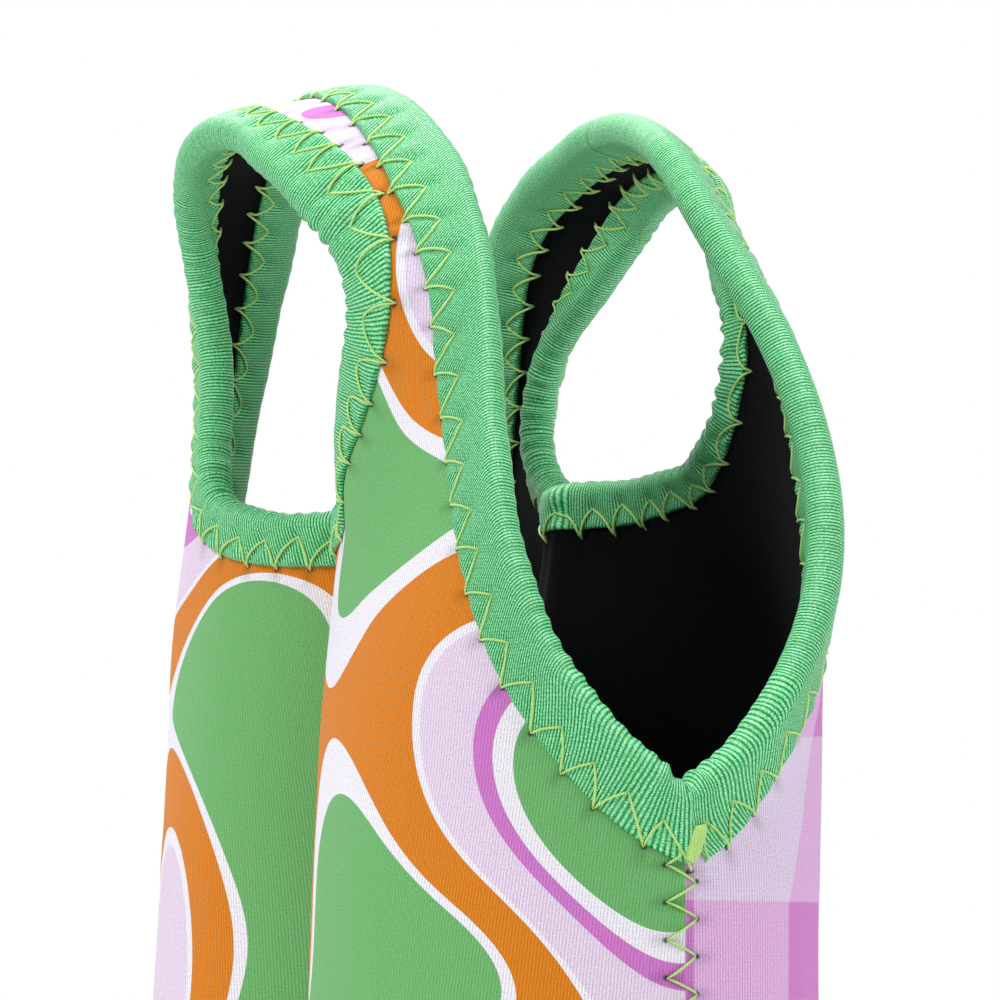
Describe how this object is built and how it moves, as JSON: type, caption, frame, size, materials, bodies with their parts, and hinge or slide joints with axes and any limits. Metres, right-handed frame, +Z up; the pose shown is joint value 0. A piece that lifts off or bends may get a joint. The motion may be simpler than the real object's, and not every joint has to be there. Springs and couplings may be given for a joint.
{
  "type": "bottle cooler sleeve",
  "caption": "Soft insulated tote with round bottle pockets side by side, a V-shaped mouth at each end and carrying handles cut into both panels, edges bound with tape.",
  "frame": {"origin": "centre of the base's underside, midway between the two bottle pockets", "axes": "+Z up towards the handles, +X from the far pocket to the near pocket, -Y out of the front panel"},
  "size_m": [0.1736, 0.0889, 0.3567],
  "materials": {
    "printed_neoprene": "matt knit face with a printed pattern, black lining",
    "gingham_neoprene": "matt knit face with pink checks, black lining",
    "black_neoprene": "matt black knit",
    "binding_tape": "satin ribbed stretch tape",
    "lime_thread": "satin sewing thread"
  },
  "bodies": {
    "root": {"front_panel": "printed_neoprene", "back_panel": "gingham_neoprene", "base_panel": "black_neoprene", "front_mouth_binding": "binding_tape", "back_mouth_binding": "binding_tape", "front_hand_hole_binding": "binding_tape", "back_hand_hole_binding": "binding_tape", "front_mouth_stitching": "lime_thread", "back_mouth_stitching": "lime_thread", "front_hand_hole_stitching": "lime_thread", "back_hand_hole_stitching": "lime_thread", "front_divider_thread": "lime_thread", "back_divider_thread": "lime_thread", "base_seam_thread": "lime_thread", "near_end_seam_thread": "lime_thread", "far_end_seam_thread": "lime_thread", "near_bartack": "lime_thread", "far_bartack": "lime_thread"}
  },
  "joints": []
}
